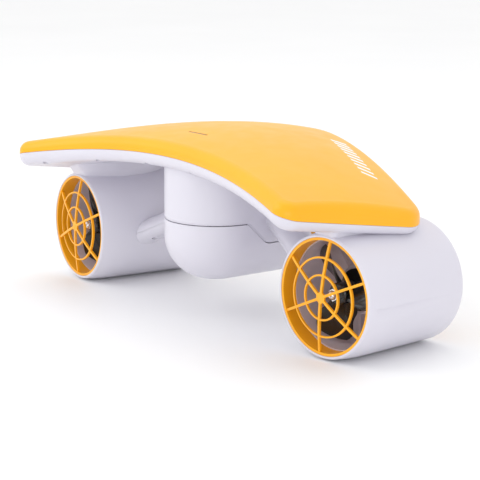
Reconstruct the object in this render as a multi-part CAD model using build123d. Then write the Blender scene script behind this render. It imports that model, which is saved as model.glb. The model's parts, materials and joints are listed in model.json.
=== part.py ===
from build123d import *
import os
from math import cos, radians, sin, sqrt

# Underwater scooter, all sizes in mm.
# +Z up, +Y towards the nose, +X to the rider's right hand when the nose points away.
# The origin is on the ground under the middle of the whole scooter.

# ---- Thruster ducts. s is the distance ahead of a duct's rear rim ----
axis_z = 54.25           # height of the duct axes
rim_x = 188.8            # rear rim centre from the middle plane
rim_y = -46.7            # rear rim plane
toe = 5.62               # degrees, the ducts close up towards the nose
duct_r = 54.5            # outside radius
rim_r = 52.3             # outside radius at the rear rim
duct_len = 118
nose_round = 8.5
bore_r = 50
swell_s = 28             # where the outside reaches its full radius
gap = 0.2                # slack between pieces that slot into one another

# ---- Guards at both ends of a duct ----
guard_band = 2.2
guard_edge = 0.5         # how far a band starts inside the duct
rear_guard_r = bore_r - gap
rear_guard_depth = 14
front_guard_r = 45
front_guard_depth = 13
guard_dome = 5.6
guard_sheet = 2
spoke_w = 2.2
spoke_count = 6
spoke_turn = 6.5         # degrees from upright to the right
guard_rings = (18.8, 33.4)
guard_ring_w = 1.5
guard_hub_r = 4.6

# ---- Crease along a duct's outer side ----
crease_depth = 0.8
crease_len = 92
crease_s = 54            # middle of the crease
crease_turn = 2.5        # degrees below the horizontal
crease_tilt = 1.1        # degrees, it fades out towards the nose

# ---- Pylon between a duct and the board: height, half width and half length ----
pylon_s = 46             # middle of the pylon
pylon_ovals = ((40, 20, 44), (54, 23.5, 54), (68, 27, 66))
pylon_cut_z = 52.6       # where its slanted rear end meets the rim plane
pylon_cut = 34           # degrees, the rear end leans back
pylon_round = 6

# ---- Motor and propeller ----
liner_r = 46.8           # water passage
vane_count = 5
vane_t = 2.6
cup_r = 21
can_r = 18
can_s = 40               # rear face of the motor can
can_len = 42
shaft_r = 3.0
running = 0.05           # radial running clearance of a shaft
prop_r = 43
prop_s = 26              # middle of the propeller
shaft_tail = 9.5         # rear end of the shaft
hub_r = 9.5
hub_len = 20
blade_count = 3
blade_turn = 80          # degrees from upright to the right

# ---- Board. w is the distance ahead of the middle of its rear edge, over 150 ----
span_unit = 200
half_rear = 210          # half width at the rear corners
half_front = 217         # half width at the front corners
rear_mid = -26.6         # rear edge at the middle plane, ahead of the duct rims
front_corner = 88
nose_tip = 151.6
nose_soft = 30
parting_mid = 96.2       # parting surface above the duct axes, at the middle of the rear edge
cover_edge = 10.8        # height of the yellow edge above the parting surface
cover_rise = 11.4        # how much higher the top is in the middle
tray_depth = 12
rear_corner_r = 15
front_corner_r = 26
cover_round = 10
tray_round = 10
wall = 3
rim_wall = 5.2           # between the board's outline and its hollow
rear_screw_x = (34.5, 103.5, 172.5)
front_screw_x = (34.5, 110)
screw_inset = 7
head_seat = 4            # depth of a tray screw's recess
boss_r = 5.2
boss_high = 6.5          # above the tray's underside

# ---- Pod under the middle ----
pod_r = 46.8
pod_rear = 29.6          # centre of the rear half circle, ahead of the duct rims
pod_front = 86           # centre of the front half circle
pod_bottom = -20.8       # below the duct axes
pod_top = 90
pod_round = 40
pod_wall = 3.4
deck_z = 61              # bulkhead between the battery bay and the electronics
seam_rear = 35           # height of the parting line over the duct axes, behind the handles
seam_front = 15          # and under them
seam_step = (31, 52)     # where it slopes down, ahead of the duct rims
seam_rounds = (4, 12)    # at the top and at the foot of the slope
seam_slack = 0.35
groove = 2.2

# ---- Handle bars. along runs from the duct to the pod, out runs to the rear ----
handle_duct_end = (132, 48, -0.8)  # from the middle plane, duct rims and duct axes
handle_pod_end = (47, 69, 37.6)
bar_out = 16             # half depth, fore and aft
bar_up = 11.2            # half height
bar_wall = 3

os.makedirs("parts", exist_ok=True)


def place_y(ahead):
    return rim_y + ahead


def place_z(height):
    return axis_z + height


# ---------------------------------------------------------------- board surfaces
def spread(x):
    return (x / span_unit) ** 2


def rear_edge(x):
    s = spread(x)
    return place_y(rear_mid - 35.67 * s + 2.11 * s * s)


def front_edge(x):
    soft = sqrt(half_front**2 + nose_soft**2) - nose_soft
    slope = (nose_tip - front_corner) / soft
    return place_y(nose_tip - slope * (sqrt(x * x + nose_soft**2) - nose_soft))


def parting(x, y):
    s = spread(x)
    w = (y - rim_y - rear_mid) / 150
    sideways = -21.4 * s - 2.3 * s * s
    lengthwise = (-3.5 - 15.6 * s) * w + (1.9 + 0.3 * s) * w * w
    return place_z(parting_mid + sideways + lengthwise)


def crown(x, y):
    s = spread(x)
    v = (y - rear_edge(x)) / (front_edge(x) - rear_edge(x))
    return parting(x, y) + cover_edge + (cover_rise - 5.9 * s) * 4 * v * (1 - v)


def below(surface, lift=0):
    """Everything from a board surface, raised by lift, down to well below the scooter."""
    rows = []
    for i in range(-11, 12):
        x = i * 20.5
        row = [Vector(x, y, surface(x, y) + lift) for y in range(-120, 131, 10)]
        rows.append(row)
    sheet = Face.make_surface_from_array_of_points(rows, tol=0.01)
    return Solid.extrude(sheet, Vector(0, 0, -240))


def planform(inset=0):
    """The board's outline as an upright block, drawn in by inset all round."""
    slant = 1.06 * inset
    rear_xs = [(half_rear - inset) * i / 6 for i in range(-6, 7)]
    rear = Spline(*[(x, rear_edge(x) + slant) for x in rear_xs])
    front_xs = [(half_front - inset) * i / 10 for i in range(10, -11, -1)]
    front = Spline(*[(x, front_edge(x) - slant) for x in front_xs])
    right = Line(rear @ 1, front @ 0)
    left = Line(front @ 1, rear @ 0)
    face = make_face([rear, right, front, left])
    face = fillet(face.vertices().sort_by(Axis.Y)[:2], rear_corner_r - inset)
    corners = [v for v in face.vertices() if abs(abs(v.X) - half_front + inset) < 1]
    return extrude(fillet(corners, front_corner_r - inset), 240)


def board_screw_places():
    """Screws along the rear and the front edge of the board."""
    places = []
    for side in (-1, 1):
        places += [(side * x, rear_edge(x) + screw_inset) for x in rear_screw_x]
        places += [(side * x, front_edge(x) - screw_inset) for x in front_screw_x]
    return places


def post(x, y, radius):
    return Pos(x, y, 0) * Cylinder(radius, 240, align=(Align.CENTER, Align.CENTER, Align.MIN))


def widest_faces(solid):
    """The two broad faces of a board shell, the lower one first."""
    return solid.faces().sort_by(SortBy.AREA)[-2:].sort_by(Axis.Z)


def save(node, shape):
    export_step(shape, f"parts/{node}.step")


def save_pair(name, shape):
    """A piece of the right side, and its mirror image on the left."""
    save(f"right_{name}", shape)
    save(f"left_{name}", mirror(shape, about=Plane.YZ))


def save_alike(name, make):
    """A piece that faces the same way on both sides. hand is -1 for the one to be mirrored."""
    save(f"right_{name}", make(hand=1))
    save(f"left_{name}", mirror(make(hand=-1), about=Plane.YZ))


def biggest(shape):
    return shape.solids().sort_by(SortBy.VOLUME)[-1]


def tube(outer, inner, start, length):
    """A plain ring about Z from start, length long."""
    ring = Cylinder(outer, length) - Cylinder(inner, length)
    return Pos(0, 0, start + length / 2) * ring


def rod(radius, start, length):
    return Pos(0, 0, start + length / 2) * Cylinder(radius, length)


def above(z):
    """Everything above a height."""
    return Pos(0, 0, z) * Box(900, 900, 400, align=(Align.CENTER, Align.CENTER, Align.MIN))


# ---------------------------------------------------------------- thruster duct
# Built about Z with s = 0 at the rear rim, X up and Y to the outside.
toe_a = radians(toe)
duct_frame = Plane(
    origin=(rim_x, rim_y, axis_z),
    x_dir=(0, 0, 1),
    z_dir=(-sin(toe_a), cos(toe_a), 0),
).location


def in_duct(shape):
    return duct_frame * shape


def duct_skin(extra=0):
    """The duct's outside as a solid, thicker by extra."""
    shoulder = duct_len - nose_round
    lip = Polyline((0, 0), (rim_r - 1 + extra, 0), (rim_r + extra, 1))
    bulge = Spline(
        (rim_r + extra, 1),
        (duct_r - 0.5 + extra, swell_s / 2),
        (duct_r + extra, swell_s),
        tangents=[(0.18, 1), (0, 1)],
    )
    flank = Line(bulge @ 1, (duct_r + extra, shoulder))
    nose = JernArc(flank @ 1, (0, 1), nose_round, 90)
    close = Polyline(nose @ 1, (0, duct_len), (0, 0))
    edges = lip.edges() + [bulge, flank, nose] + close.edges()
    return revolve(Plane.XZ * make_face(edges), Axis.Z)


def side_crease():
    """A shallow step along the duct's outside that fades out downwards."""
    block = Box(18, 20, crease_len, align=(Align.MAX, Align.MIN, Align.CENTER))
    placed = Pos(0, duct_r - crease_depth, crease_s) * Rot(-crease_tilt, 0, 0) * block
    return Rot(0, 0, crease_turn) * placed


def duct_shell():
    front_seat = front_guard_depth + 1
    shell = duct_skin()
    shell -= rod(bore_r, 0, duct_len - front_seat - 4)
    shell -= rod(front_guard_r + gap, duct_len - front_seat, front_seat)
    shell -= rod(front_guard_r - guard_band, 0, duct_len)
    shell -= side_crease()
    return in_duct(shell)


def pylon():
    """Oval fairing that flares up from the duct to the board."""
    tiers = []
    for height, half_w, half_l in pylon_ovals:
        spot = Pos(rim_x - pylon_s * sin(toe_a), place_y(pylon_s), place_z(height))
        tiers.append(spot * Rot(0, 0, toe) * Ellipse(half_w, half_l))
    ahead = Box(900, 400, 400, align=(Align.CENTER, Align.MIN, Align.CENTER))
    ahead = Pos(0, rim_y, place_z(pylon_cut_z)) * Rot(pylon_cut, 0, 0) * ahead
    fairing = loft(tiers) & planform(12) & ahead
    back = fairing.faces().sort_by(Axis.Y)[0]
    corners = back.edges().filter_by(lambda edge: abs((edge @ 0).Z - (edge @ 1).Z) > 5)
    return fillet(corners, pylon_round)


def duct_housing():
    """Duct and pylon in one, cut under the board and flat along the ground."""
    carrier = pylon() - in_duct(rod(bore_r + 1, 0, duct_len))
    return biggest(((duct_shell() + carrier) - board) & above(0))


# ---------------------------------------------------------------- guards
def guard(outer, depth, rings, spoke_angle):
    """Deep band with a domed web of spokes and rings. The web is at the s = 0 side."""
    band = tube(outer, outer - guard_band, guard_edge, depth)
    ball_r = (outer**2 + guard_dome**2) / (2 * guard_dome)
    centre = guard_edge + 1.2 - guard_dome + ball_r
    dome = Pos(0, 0, centre) * Sphere(ball_r)
    dome -= Pos(0, 0, centre) * Sphere(ball_r - guard_sheet)
    web = rod(guard_hub_r, -20, 40)
    for k in range(spoke_count):
        turn = spoke_angle + k * 360 / spoke_count
        bar = Box(outer - 1, spoke_w, 40, align=(Align.MIN, Align.CENTER, Align.CENTER))
        web += Rot(0, 0, turn) * bar
    for radius in rings:
        web += tube(radius + guard_ring_w / 2, radius - guard_ring_w / 2, -20, 40)
    return biggest(band + (dome & web & rod(outer - 1, -20, 40)))


def rear_guard(hand):
    return in_duct(guard(rear_guard_r, rear_guard_depth, guard_rings, hand * spoke_turn))


def front_guard():
    rings = [r * front_guard_r / rear_guard_r for r in guard_rings]
    web = guard(front_guard_r, front_guard_depth, rings, spoke_turn)
    return in_duct(Pos(0, 0, duct_len) * Rot(180, 0, 0) * web)


# ---------------------------------------------------------------- motor
def motor_mount():
    """Duct liner, stator vanes and the cup that holds the motor."""
    start = rear_guard_depth + 1
    end = duct_len - front_guard_depth - 6
    liner = tube(bore_r - gap, liner_r, start, end - start)
    cup = tube(cup_r, can_r + gap, can_s + 2, can_len + 2)
    cup += rod(cup_r, can_s + can_len + 0.2, 4)
    nose = Pos(0, 0, can_s + can_len + 4.2) * Sphere(cup_r)
    nose &= rod(cup_r, can_s + can_len + 4.2, 9)
    mount = liner + cup + nose
    for k in range(vane_count):
        turn = 36 + k * 360 / vane_count
        vane = Box(bore_r - cup_r - 1, vane_t, can_len - 4, align=(Align.MIN, Align.CENTER, Align.MIN))
        mount += Rot(0, 0, turn) * Pos(cup_r - 1, 0, can_s + 4) * vane
    return in_duct(mount)


def motor_can():
    """Sealed can, open towards the propeller, with a bearing seat at its closed end."""
    can = rod(can_r, can_s + 4, can_len - 4) - rod(can_r - 1.6, can_s + 3, can_len - 7)
    can += tube(10, 8, can_s + can_len - 9, 6.5)
    return in_duct(can)


def motor_cap():
    cap = rod(can_r, can_s, 3.8) + tube(10, 8, can_s + 3, 7)
    cap -= rod(8, can_s + 3.4, 8)
    cap -= rod(6.5, can_s - 1, 8)
    return in_duct(cap)


def motor_stator():
    """Laminated ring with twelve teeth and their windings."""
    ring = tube(can_r - 1.6, 14.2, can_s + 13, 18)
    for k in range(12):
        turn = k * 30
        tooth = Pos(12.6, 0, can_s + 22) * Box(4.4, 2.6, 18)
        coil = Pos(12.9, 0, can_s + 22) * Box(2.4, 4.6, 20)
        ring += Rot(0, 0, turn) * (tooth + coil)
    return in_duct(ring)


def motor_rotor():
    core = tube(9.6, shaft_r, can_s + 13, 18)
    return in_duct(core)


def motor_bearings():
    """Two identical ball bearings."""
    front = tube(8, shaft_r + running, can_s + can_len - 9, 5)
    rear = tube(8, shaft_r + running, can_s + 4, 5)
    return in_duct(Compound([front, rear]))


def shaft_seal():
    return in_duct(tube(6.5, shaft_r + running, can_s - 0.4, 3.6))


def motor_shaft():
    shaft = rod(shaft_r, shaft_tail, can_s + can_len - 4.4 - shaft_tail)
    return in_duct(chamfer(shaft.edges(), 0.4))


def blade(hand):
    """One blade along +X: radius, chord, thickness and pitch at four stations."""
    sections = []
    for radius, chord, thick, pitch in ((6, 17, 4.6, 60), (19, 29, 3.2, 43), (33, 33, 2.2, 31), (45, 22, 1.5, 25)):
        a = radians(pitch)
        face = Plane(origin=(radius, 0, prop_s), x_dir=(0, -hand * cos(a), sin(a)), z_dir=(1, 0, 0))
        sections.append(face * Ellipse(chord / 2, thick / 2))
    return loft(sections)


def propeller(hand):
    wheel = rod(hub_r, prop_s - hub_len / 2, hub_len)
    wheel = chamfer(wheel.edges(), 1.2)
    for k in range(blade_count):
        wheel += Rot(0, 0, hand * blade_turn + k * 360 / blade_count) * blade(hand)
    wheel &= fillet(rod(prop_r, prop_s - 14, 28).edges(), 8)
    wheel -= rod(shaft_r, 0, 80)
    return in_duct(wheel)


def prop_nut():
    """Hexagon nut with a domed end over the shaft."""
    base = prop_s - hub_len / 2
    nut = extrude(Pos(0, 0, base - 5) * RegularPolygon(5.4, 6), 5)
    dome = Pos(0, 0, base - 5) * Sphere(4.2)
    nut += dome & rod(5, base - 10, 6)
    nut -= rod(shaft_r, shaft_tail, 20)
    return in_duct(nut)


# ---------------------------------------------------------------- handle bar
def corner(spot):
    return Vector(spot[0], place_y(spot[1]), place_z(spot[2]))


bar_duct = corner(handle_duct_end)
bar_pod = corner(handle_pod_end)
bar_dir = (bar_pod - bar_duct).normalized()
up = Vector(0, 0, 1)
bar_frame = Plane(
    origin=(bar_duct + bar_pod) / 2,
    x_dir=bar_dir,
    z_dir=(up - bar_dir * up.dot(bar_dir)),
).location
# In the bar's frame X runs to the pod, Z is up across the bar and -Y is forward.
pivot = (18, -5)
trigger_low = 1.1
trigger_high = 7.2
boss_low = 6.9           # lower end of the upper shell's pin boss
bar_screws = ((-39, 7), (33, 9))
bar_seat = -5            # where the bar screws' heads sit
pin_r = 1.5
pin_foot = -4.8
pin_top = 9.2


def in_bar(shape):
    return bar_frame * shape


def bar_outside():
    """Oval bar that flares into the duct and the pod."""
    stations = []
    for along, size in ((-62, 1.2), (-46, 1.05), (-28, 1), (26, 1), (44, 1.05), (62, 1.2)):
        oval = Ellipse(bar_out * size, bar_up * size)
        place = Plane(origin=(along, 0, 0), x_dir=(0, 1, 0), z_dir=(1, 0, 0))
        stations.append(place * oval)
    return loft(stations)


def bar_inside():
    oval = Ellipse(bar_out - bar_wall, bar_up - bar_wall)
    place = Plane(origin=(-70, 0, 0), x_dir=(0, 1, 0), z_dir=(1, 0, 0))
    return extrude(place * oval, 140)


def half(top):
    """The half space above or below the bar's seam, with the seam's gap."""
    side = Align.MIN if top else Align.MAX
    lift = 0.1 if top else -0.1
    return Pos(0, 0, lift) * Box(200, 80, 60, align=(Align.CENTER, Align.CENTER, side))


def peg(x, y, radius, low, high):
    return Pos(x, y, 0) * rod(radius, low, high - low)


def trim_bar(shape):
    """Cut a bar shell back to the duct's and the pod's outside."""
    placed = in_bar(shape) - in_duct(duct_skin(gap)) - pod_shape(0)
    return placed - Box(2 * pod_r - 6, 400, 400)


def handle_upper():
    outside = bar_outside()
    shell = (outside - bar_inside()) & half(True)
    inside = bar_outside() & half(True)
    pegs = peg(*pivot, 3.4, boss_low, 12)
    for spot in bar_screws:
        pegs += peg(*spot, 4, 0.1, 12)
    pegs += Pos(-8, 2, 6.5) * Box(11, 2, 9)
    shell += pegs & inside
    shell -= Pos(2.2, -16, trigger_high / 2) * Box(40.5, 24, trigger_high + 1.2)
    for spot in bar_screws:
        shell -= peg(*spot, 1.3, 0, 5.5)
    shell -= peg(*pivot, pin_r, 0, pin_top + 0.2)
    return biggest(trim_bar(shell))


def handle_lower():
    outside = bar_outside()
    shell = (outside - bar_inside()) & half(False)
    inside = bar_outside() & half(False)
    pegs = peg(*pivot, 3.4, -12, 0.7)
    for spot in bar_screws:
        pegs += peg(*spot, 4.6, -13, -0.1)
    shell += pegs & (inside + peg(*pivot, 3.4, -1, 0.7))
    for spot in bar_screws:
        shell -= peg(*spot, 3.3, -20, bar_seat)
        shell -= peg(*spot, 1.5, -10, 1)
    shell -= peg(*pivot, pin_r, pin_foot - 0.2, 2)
    return biggest(trim_bar(shell))


def handle_screws():
    screws = []
    low = bar_seat - 2
    for spot in bar_screws:
        screw = rod(2.9, low, 2) + rod(1.25, bar_seat - 0.5, 10.5)
        screw -= Pos(0, 0, low) * Box(3.4, 0.8, 1.6) + Pos(0, 0, low) * Box(0.8, 3.4, 1.6)
        screws.append(in_bar(Pos(*spot, 0) * screw))
    return Compound(screws)


def trigger():
    """Finger lever that swings in on its pin."""
    pad = Polyline((-15, -8), (-15, -22), (13, -22), (21, -9), (21.4, -4), (14.6, -4), (9, -9.5), close=True)
    lever = extrude(Pos(0, 0, trigger_low) * make_face(pad), trigger_high - trigger_low)
    place = Plane(origin=(-30, 0, 0), x_dir=(0, 1, 0), z_dir=(1, 0, 0))
    lever &= extrude(place * Ellipse(bar_out + 3.2, bar_up + 3), 60)
    lever -= Pos(*pivot, boss_low + 2) * Box(9.4, 9.4, 5)
    lever += peg(*pivot, 3.6, trigger_low, boss_low - 0.5)
    lever -= peg(*pivot, pin_r + running, 0, 12)
    return in_bar(biggest(lever))


def trigger_pin():
    return in_bar(peg(*pivot, pin_r, pin_foot, pin_top))


def trigger_spring():
    """Compression spring behind the trigger pad."""
    path = Helix(1.6, 7.6, 2.2)
    wire = Plane(origin=path @ 0, z_dir=path % 0) * Circle(0.35)
    coil = sweep(wire, path=path)
    return in_bar(Pos(-8, 0.1, 4.6) * Rot(90, 0, 0) * coil)


def trigger_switch():
    """Sealed sensor that reads the trigger, standing on the lower shell."""
    return in_bar(Pos(4, 0.5, -0.7) * Box(9, 5, 14.4))


# ---------------------------------------------------------------- pod
def stadium(radius):
    back = place_y(pod_rear)
    front = place_y(pod_front)
    shape = Pos(0, (back + front) / 2) * Rectangle(2 * radius, front - back)
    return shape + Pos(0, back) * Circle(radius) + Pos(0, front) * Circle(radius)


def pod_shape(shrink):
    """The hull-shaped pod, smaller all round by shrink."""
    low = place_z(pod_bottom) + shrink
    hull = extrude(Pos(0, 0, low) * stadium(pod_r - shrink), place_z(pod_top) - low)
    floor = hull.faces().sort_by(Axis.Z)[0]
    return fillet(floor.edges(), pod_round - shrink)


def above_seam(lift):
    """Everything above the pod's parting line, raised by lift."""
    a = place_z(seam_rear) + lift
    b = place_z(seam_front) + lift
    head = (place_y(seam_step[0]), a)
    foot = (place_y(seam_step[1]), b)
    face = make_face(Polyline((-200, a), head, foot, (200, b), (200, 300), (-200, 300), close=True))
    face = fillet(face.vertices().sort_by(Axis.X)[2], seam_rounds[0])
    face = fillet(face.vertices().sort_by(Axis.X)[4], seam_rounds[1])
    return extrude(Plane.YZ * face, 90, both=True)


pod_screw_places = [(x, place_y(y)) for x in (-12, 12) for y in (pod_rear - 7.5, pod_front + 7.5)]


def pod_housing():
    shell = pod_shape(0) - pod_shape(pod_wall)
    shell &= above_seam(seam_slack)
    shell -= (pod_shape(0) - pod_shape(0.8)) - above_seam(groove)
    deck = Pos(0, 0, place_z(deck_z)) * extrude(stadium(pod_r - 1), wall)
    shell += deck
    for x, y in pod_screw_places:
        column = post(x, y, 5) & above_seam(seam_slack)
        shell += column - above(place_z(deck_z + 1))
        shell -= post(x, y, 1.5 + running) - above(place_z(deck_z))
    return biggest(shell - board)


def battery_cover():
    shell = pod_shape(0) - pod_shape(pod_wall)
    for x, y in pod_screw_places:
        shell += post(x, y, 5) & pod_shape(1)
    shell -= above_seam(-seam_slack)
    for x, y in pod_screw_places:
        shell -= post(x, y, 1.5 + gap)
        shell -= post(x, y, 3.4) - above(place_z(pod_bottom + 5))
    return biggest(shell)


def cover_screws():
    screws = []
    for x, y in pod_screw_places:
        head = place_z(pod_bottom + 2.6)
        tip = place_z(seam_rear if y < 0 else seam_front) + 12
        screw = rod(3.1, head, 2.4) + rod(1.5, head + 1, tip - head)
        screw -= Pos(0, 0, head) * Box(4, 0.9, 1.8) + Pos(0, 0, head) * Box(0.9, 4, 1.8)
        screws.append(Pos(x, y, 0) * screw)
    return Compound(screws)


def battery_seal():
    """Rubber ring behind the parting line, held by the housing."""
    ring = pod_shape(pod_wall + gap) - pod_shape(pod_wall + 2.8)
    return biggest((ring & above_seam(0.6)) - above_seam(5))


def battery_pack():
    middle = place_y((pod_rear + pod_front) / 2)
    low = pod_bottom + 19
    size = (66, 50, deck_z - low - 0.5)
    block = Pos(0, middle, place_z(low)) * Box(*size, align=(Align.CENTER, Align.CENTER, Align.MIN))
    block = fillet(block.edges().filter_by(Axis.Z), 6)
    return block


def controller_board():
    """Circuit board on stand-offs, with its power parts."""
    middle = place_y((pod_rear + pod_front) / 2)
    base = place_z(deck_z + wall)
    plate = Pos(0, middle, base + 2) * Box(60, 56, 1.6, align=(Align.CENTER, Align.CENTER, Align.MIN))
    for x in (-26, 26):
        for y in (-24, 24):
            plate += Pos(x, middle + y, 0) * rod(2.5, base, 2.5)
    for i in range(6):
        chip = Box(6, 9, 1.8, align=(Align.CENTER, Align.CENTER, Align.MIN))
        plate += Pos(-22.5 + 9 * i, middle + 14, base + 3.5) * chip
    plate += Pos(0, middle - 6, base + 3.5) * Box(12, 12, 1.4, align=(Align.CENTER, Align.CENTER, Align.MIN))
    for x in (-20, 20):
        plate += Pos(x, middle - 12, 0) * rod(4, base + 3.5, 4)
    return plate


# ---------------------------------------------------------------- board
screw_places = board_screw_places()
outline = planform()
under_parting = below(parting)

cover_outer = biggest((outline & below(crown)) - under_parting)
cover_outer = fillet(widest_faces(cover_outer)[1].edges(), cover_round)
tray_outer = biggest((outline & below(parting, -0.3)) - below(parting, -tray_depth))
tray_outer = fillet(widest_faces(tray_outer)[0].edges(), tray_round)
board = cover_outer + tray_outer

ducts = in_duct(duct_skin(gap))
ducts += mirror(ducts, about=Plane.YZ)
light_x = 28
light_y = place_y(10)


def light_slot(slack):
    return Pos(0, light_y, 0) * Box(light_x + slack, 2.2 + slack, 600)


def top_cover():
    shell = cover_outer - (planform(rim_wall) & below(crown, -wall))
    inner = planform(rim_wall + gap) & below(crown, -1)
    inner -= below(parting, boss_high + 0.1 - tray_depth)
    for x, y in screw_places:
        column = post(x, y, 4) - (post(x, y, 1.3) - above(parting(x, y) + 4))
        shell += column & inner
    return biggest(shell - light_slot(0.2))


def lower_tray():
    shell = tray_outer - (planform(rim_wall) - below(parting, wall - tray_depth))
    for x, y in screw_places:
        shell += post(x, y, boss_r) & tray_outer & below(parting, boss_high - tray_depth)
        shell -= post(x, y, 3.4) - above(parting(x, y) + head_seat - tray_depth)
        shell -= post(x, y, 1.6)
    return biggest(shell - ducts)


def foam_core():
    core = (planform(rim_wall + 1) & below(crown, -wall - 0.4)) - below(parting, wall + 0.4 - tray_depth)
    for x, y in screw_places:
        core -= post(x, y, boss_r + 0.4)
    core -= Pos(0, light_y, 0) * Box(light_x + 4, 8, 600) - below(crown, -10)
    return biggest(core - ducts)


def tray_screws():
    screws = []
    for x, y in screw_places:
        head = parting(x, y) + head_seat - tray_depth - 1.45
        screw = rod(3, head, 1.4) + rod(1.3, head + 1, 12)
        screw -= Pos(0, 0, head) * Box(3.6, 0.8, 1.6) + Pos(0, 0, head) * Box(0.8, 3.6, 1.6)
        screws.append(Pos(x, y, 0) * screw)
    return Compound(screws)


def status_light():
    return biggest((light_slot(0) & below(crown, -0.2)) - below(crown, -4.5))


save("top_cover", top_cover())
save("foam_core", foam_core())
save("lower_tray", lower_tray())
save("tray_screws", tray_screws())
save("status_light", status_light())
save("pod_housing", pod_housing())
save("battery_cover", battery_cover())
save("cover_screws", cover_screws())
save("battery_seal", battery_seal())
save("battery_pack", battery_pack())
save("controller_board", controller_board())

save_pair("duct_housing", duct_housing())
save_alike("rear_guard", rear_guard)
save_pair("front_guard", front_guard())
save_pair("motor_mount", motor_mount())
save_pair("motor_can", motor_can())
save_pair("motor_cap", motor_cap())
save_pair("motor_stator", motor_stator())
save_pair("motor_rotor", motor_rotor())
save_pair("motor_bearings", motor_bearings())
save_pair("shaft_seal", shaft_seal())
save_pair("motor_shaft", motor_shaft())
save_alike("propeller", propeller)
save_pair("prop_nut", prop_nut())
save_pair("handle_upper", handle_upper())
save_pair("handle_lower", handle_lower())
save_pair("handle_screws", handle_screws())
save_pair("trigger", trigger())
save_pair("trigger_pin", trigger_pin())
save_pair("trigger_spring", trigger_spring())
save_pair("trigger_switch", trigger_switch())
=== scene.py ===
import json
import math

import bpy
from mathutils import Matrix, Vector


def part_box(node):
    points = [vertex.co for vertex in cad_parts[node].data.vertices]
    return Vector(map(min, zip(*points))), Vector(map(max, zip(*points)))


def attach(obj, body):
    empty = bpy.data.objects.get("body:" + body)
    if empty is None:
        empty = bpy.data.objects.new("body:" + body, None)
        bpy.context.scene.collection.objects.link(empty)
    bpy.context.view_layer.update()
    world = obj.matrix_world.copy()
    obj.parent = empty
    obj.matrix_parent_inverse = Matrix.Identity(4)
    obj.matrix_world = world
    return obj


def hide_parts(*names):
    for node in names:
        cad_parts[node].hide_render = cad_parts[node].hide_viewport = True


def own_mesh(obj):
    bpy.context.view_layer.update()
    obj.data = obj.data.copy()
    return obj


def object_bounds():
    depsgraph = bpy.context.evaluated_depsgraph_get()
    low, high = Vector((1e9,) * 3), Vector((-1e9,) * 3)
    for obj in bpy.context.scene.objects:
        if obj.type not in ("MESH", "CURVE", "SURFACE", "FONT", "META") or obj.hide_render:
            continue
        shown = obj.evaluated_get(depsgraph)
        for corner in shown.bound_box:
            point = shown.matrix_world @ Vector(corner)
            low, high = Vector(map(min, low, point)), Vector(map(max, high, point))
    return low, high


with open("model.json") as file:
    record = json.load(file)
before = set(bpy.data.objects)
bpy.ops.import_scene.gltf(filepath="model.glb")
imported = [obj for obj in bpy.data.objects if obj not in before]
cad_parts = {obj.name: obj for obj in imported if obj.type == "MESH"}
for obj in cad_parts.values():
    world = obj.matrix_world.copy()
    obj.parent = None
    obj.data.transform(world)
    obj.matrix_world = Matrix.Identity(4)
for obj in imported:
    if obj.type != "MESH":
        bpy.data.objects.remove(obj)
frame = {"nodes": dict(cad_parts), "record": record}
cad_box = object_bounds()
nodes = frame["nodes"]

MM = 0.001

# ---------------------------------------------------------------- places, from the frame
CENTRE = (cad_box[0] + cad_box[1]) / 2
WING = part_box("top_cover")[1]     # the wing's right front upper corner
SIDES = ("right", "left")

# The printed mark, as parts of the wing's half width and half depth, and in metres
MARK_START = (0.33, 0.64)
MARK_END = (0.75, 0.262)
MARK_HALF_HEIGHT = 0.0062
STROKE_PITCH = 0.0101
STROKE_LEAN = 0.55                # sideways per unit across the row
STROKE_SHARES = (0.64, 0.4)       # the printed part of the pitch, at the row's start and end

# The gloss and the colour of a moulding follow slow noise between these two values
NOISE_RANGE = (0.3, 0.7)
DRIFT_SCALE = 9.0
GLOSS_SCALE = 60.0
GLOSS_SPREAD = 0.05

FLOOR_REACH = 30.0

# Place, size and watts of each lamp
LAMPS = {
    "key": ((-0.95, -1.35, 1.3), (1.3, 1.3), 8),
    "fill": ((1.5, -1.4, 0.4), (1.2, 0.7), 4),
    "top": ((-0.3, 0.3, 2.2), (2.2, 1.6), 7),
}

CAMERA_PLACE = (1.265, -0.9552, 0.39175)
CAMERA_TURN = (52.63, 11.63, 0.18)    # yaw, pitch and roll in degrees
SENSOR_MM = 36
LENS_MM = 131.63


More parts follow.
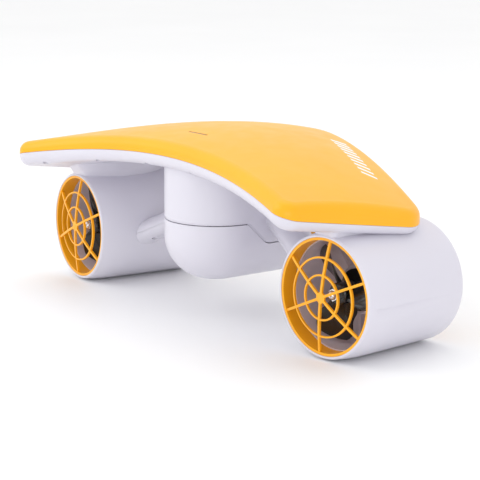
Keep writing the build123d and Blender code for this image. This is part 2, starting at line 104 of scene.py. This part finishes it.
# ---------------------------------------------------------------- node helpers
class Nodes:
    """A short way to build one material's node tree."""

    def __init__(self, name):
        self.material = bpy.data.materials.new(name)
        self.material.use_nodes = True
        self.tree = self.material.node_tree
        self.tree.nodes.clear()
        self.output = self.tree.nodes.new("ShaderNodeOutputMaterial")

    def add(self, kind, inputs=None, **settings):
        node = self.tree.nodes.new(kind)
        for key, value in settings.items():
            setattr(node, key, value)
        for key, value in (inputs or {}).items():
            self.put(node.inputs[key], value)
        return node

    def put(self, socket, value):
        if isinstance(value, bpy.types.NodeSocket):
            self.tree.links.new(value, socket)
        else:
            socket.default_value = value

    def place(self):
        return self.add("ShaderNodeTexCoord").outputs["Object"]

    def noise(self, scale, detail=3.0):
        inputs = {"Vector": self.place(), "Scale": scale, "Detail": detail, "Roughness": 0.5}
        return self.add("ShaderNodeTexNoise", inputs).outputs["Fac"]

    def span(self, value, low, high, out_low, out_high):
        inputs = {"Value": value, "From Min": low, "From Max": high}
        inputs.update({"To Min": out_low, "To Max": out_high})
        return self.add("ShaderNodeMapRange", inputs).outputs["Result"]

    def drift(self, colour, shade):
        slow = self.span(self.noise(DRIFT_SCALE, 2.0), *NOISE_RANGE, 0.0, 1.0)
        return self.mix(slow, colour, shade)

    def gloss(self, low, high):
        return self.span(self.noise(GLOSS_SCALE, 4.0), *NOISE_RANGE, low, high)

    def math(self, operation, a, b=0.0):
        node = self.add("ShaderNodeMath", operation=operation)
        self.put(node.inputs[0], a)
        self.put(node.inputs[1], b)
        return node.outputs[0]

    def vector_math(self, operation, a, b):
        return self.add("ShaderNodeVectorMath", {0: a, 1: b}, operation=operation)

    def all_of(self, *masks):
        total = masks[0]
        for mask in masks[1:]:
            total = self.math("MULTIPLY", total, mask)
        return total

    def mix(self, factor, a, b):
        node = self.add("ShaderNodeMix", data_type="RGBA")
        self.put(node.inputs["Factor"], factor)
        self.put(node.inputs[6], a)
        self.put(node.inputs[7], b)
        return node.outputs[2]

    def bump(self, height, strength, distance):
        inputs = {"Height": height, "Strength": strength, "Distance": distance}
        return self.add("ShaderNodeBump", inputs).outputs["Normal"]

    def finish(self, **inputs):
        shader = self.add("ShaderNodeBsdfPrincipled")
        for key, value in inputs.items():
            self.put(shader.inputs[key.replace("_", " ")], value)
        self.tree.links.new(shader.outputs[0], self.output.inputs["Surface"])
        return self.material


def rgba(r, g, b):
    return (r, g, b, 1.0)


def moulded(name, colour, shade, rough, grain=900.0, grain_mm=0.012):
    """Injection-moulded plastic: slow colour drift, fine grain and uneven gloss."""
    n = Nodes(name)
    base = n.drift(colour, shade)
    gloss = n.gloss(rough - GLOSS_SPREAD, rough + GLOSS_SPREAD)
    normal = n.bump(n.noise(grain, 2.0), 0.35, grain_mm * MM)
    return n.finish(Base_Color=base, Roughness=gloss, Normal=normal)


def metal(name, colour, rough):
    """Bare metal with uneven gloss and a very fine grain."""
    n = Nodes(name)
    streak = n.noise(400.0)
    gloss = n.span(streak, *NOISE_RANGE, rough * 0.8, rough * 1.25)
    normal = n.bump(streak, 0.2, 0.01 * MM)
    return n.finish(Base_Color=colour, Metallic=1.0, Roughness=gloss, Normal=normal)


def speed_strokes(n):
    """Mask of a printed row of slanted strokes along the right wing's front edge."""
    start, end = (Vector((x * WING.x, y * WING.y, 0)) for x, y in (MARK_START, MARK_END))
    run = (end - start).length
    along = (end - start) / run
    across = Vector((-along.y, along.x, 0))
    flat = n.vector_math("SUBTRACT", n.place(), start).outputs[0]
    u = n.vector_math("DOT_PRODUCT", flat, along).outputs["Value"]
    v = n.vector_math("DOT_PRODUCT", flat, across).outputs["Value"]
    lean = n.math("SUBTRACT", u, n.math("MULTIPLY", v, STROKE_LEAN))
    cell = n.math("FRACT", n.math("DIVIDE", lean, STROKE_PITCH))
    width = n.span(u, 0.0, run, *STROKE_SHARES)
    return n.all_of(
        n.math("LESS_THAN", cell, width),
        n.math("GREATER_THAN", lean, 0.0),
        n.math("LESS_THAN", lean, run),
        n.math("LESS_THAN", n.math("ABSOLUTE", v), MARK_HALF_HEIGHT),
    )


def yellow_shell():
    """Satin yellow with a printed mark on the right wing."""
    n = Nodes("yellow_shell")
    paint = n.drift(rgba(1.0, 0.46, 0.011), rgba(0.98, 0.435, 0.009))
    base = n.mix(speed_strokes(n), paint, rgba(0.9, 0.89, 0.88))
    gloss = n.gloss(0.3, 0.38)
    normal = n.bump(n.noise(900.0, 2.0), 0.3, 0.01 * MM)
    return n.finish(Base_Color=base, Roughness=gloss, Normal=normal, Specular_IOR_Level=0.36)


def white_shell():
    return moulded("white_shell", rgba(0.705, 0.688, 0.762), rgba(0.68, 0.662, 0.74), 0.34)


def yellow_guard():
    return moulded("yellow_guard", rgba(1.0, 0.45, 0.008), rgba(0.97, 0.42, 0.007), 0.34)


def grey_liner():
    return moulded("grey_liner", rgba(0.66, 0.58, 0.63), rgba(0.62, 0.54, 0.59), 0.38)


def black_propeller():
    colour, shade = rgba(0.008, 0.008, 0.008), rgba(0.014, 0.014, 0.014)
    return moulded("black_propeller", colour, shade, 0.2)


def seal_rubber():
    colour, shade = rgba(0.02, 0.02, 0.021), rgba(0.03, 0.03, 0.031)
    return moulded("seal_rubber", colour, shade, 0.7, grain_mm=0.03)


def foam():
    colour, shade = rgba(0.8, 0.79, 0.74), rgba(0.72, 0.71, 0.66)
    return moulded("foam", colour, shade, 0.9, grain=500.0, grain_mm=0.2)


def battery_case():
    return moulded("battery_case", rgba(0.03, 0.03, 0.035), rgba(0.045, 0.045, 0.05), 0.45)


def circuit_board():
    return moulded("circuit_board", rgba(0.01, 0.13, 0.05), rgba(0.012, 0.16, 0.06), 0.4)


def light_window():
    return moulded("light_window", rgba(0.2, 0.11, 0.03), rgba(0.16, 0.09, 0.025), 0.25)


MATERIALS = {
    "yellow_shell": yellow_shell(),
    "white_shell": white_shell(),
    "yellow_guard": yellow_guard(),
    "grey_liner": grey_liner(),
    "black_propeller": black_propeller(),
    "seal_rubber": seal_rubber(),
    "foam": foam(),
    "battery_case": battery_case(),
    "circuit_board": circuit_board(),
    "light_window": light_window(),
    "steel_screw": metal("steel_screw", rgba(0.5, 0.5, 0.52), 0.3),
    "chrome_nut": metal("chrome_nut", rgba(0.8, 0.8, 0.81), 0.14),
    "motor_case": metal("motor_case", rgba(0.16, 0.16, 0.17), 0.38),
    "windings": metal("windings", rgba(0.55, 0.24, 0.09), 0.35),
    "spring_steel": metal("spring_steel", rgba(0.55, 0.55, 0.55), 0.25),
}


def dress_cad_nodes():
    slots = {s["node"]: s["material_slot"] for s in frame["record"]["subparts"]}
    for name, node in nodes.items():
        node.data.materials.clear()
        node.data.materials.append(MATERIALS[slots[name]])


def soften(name, width):
    """Break a moulded piece's sharp edges, by a width in millimetres."""
    bevel = nodes[name].modifiers.new("soft_edges", "BEVEL")
    bevel.width = width * MM
    bevel.segments = 2
    bevel.limit_method = "ANGLE"
    bevel.angle_limit = math.radians(35)


def closing_spring(side):
    """Put a copy of the spring behind a trigger on the hull, in place of the hidden spring
    part.
    """
    name = f"{side}_trigger_spring"
    node = nodes[name]
    coil = bpy.data.objects.new(f"{side}_trigger_coil", node.data.copy())
    coil.matrix_world = node.matrix_world.copy()
    bpy.context.scene.collection.objects.link(coil)
    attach(coil, "hull")
    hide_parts(name)
    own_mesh(coil)


# ---------------------------------------------------------------- stage
def floor():
    """Plain pale floor."""
    mesh = bpy.data.meshes.new("floor")
    turns = ((-1, -1), (1, -1), (1, 1), (-1, 1))
    corners = [(x * FLOOR_REACH, y * FLOOR_REACH, 0) for x, y in turns]
    mesh.from_pydata(corners, [], [(0, 1, 2, 3)])
    plane = bpy.data.objects.new("floor", mesh)
    bpy.context.scene.collection.objects.link(plane)
    n = Nodes("floor_pale")
    tone = n.span(n.noise(3.0), *NOISE_RANGE, 0.0, 1.0)
    base = n.mix(tone, rgba(0.95, 0.95, 0.955), rgba(0.93, 0.93, 0.935))
    mesh.materials.append(n.finish(Base_Color=base, Roughness=0.6))


def softbox(name, place, size, watts):
    """A soft lamp that points at the middle of the scooter."""
    light = bpy.data.lights.new(name, "AREA")
    light.shape = "RECTANGLE"
    light.size, light.size_y = size
    light.energy = watts
    lamp = bpy.data.objects.new(name, light)
    lamp.location = place
    lamp.rotation_mode = "QUATERNION"
    lamp.rotation_quaternion = (CENTRE - Vector(place)).to_track_quat("-Z", "Y")
    bpy.context.scene.collection.objects.link(lamp)


def studio():
    """White surroundings and three soft lamps."""
    world = bpy.data.worlds.new("studio")
    world.use_nodes = True
    background = world.node_tree.nodes["Background"]
    background.inputs["Color"].default_value = rgba(1.0, 1.0, 1.0)
    background.inputs["Strength"].default_value = 1.0
    bpy.context.scene.world = world
    for name, (place, size, watts) in LAMPS.items():
        softbox(name, place, size, watts)
    bpy.context.scene.view_settings.view_transform = "Standard"


def camera():
    yaw, pitch, roll = (math.radians(angle) for angle in CAMERA_TURN)
    level = math.cos(pitch)
    forward = Vector((-math.sin(yaw) * level, math.cos(yaw) * level, -math.sin(pitch)))
    side = forward.cross(Vector((0, 0, 1))).normalized()
    up = side.cross(forward)
    right = math.cos(roll) * side + math.sin(roll) * up
    top = math.cos(roll) * up - math.sin(roll) * side
    data = bpy.data.cameras.new("camera")
    data.sensor_width = SENSOR_MM
    data.lens = LENS_MM
    data.clip_start, data.clip_end = 0.05, 100
    eye = bpy.data.objects.new("camera", data)
    turn = Matrix((right, top, -forward)).transposed().to_4x4()
    eye.matrix_world = Matrix.Translation(CAMERA_PLACE) @ turn
    bpy.context.scene.collection.objects.link(eye)
    bpy.context.scene.camera = eye


dress_cad_nodes()
for side in SIDES:
    soften(f"{side}_rear_guard", 0.5)
    soften(f"{side}_front_guard", 0.5)
    soften(f"{side}_trigger", 0.6)
closing_spring("right")
closing_spring("left")
floor()
studio()
camera()
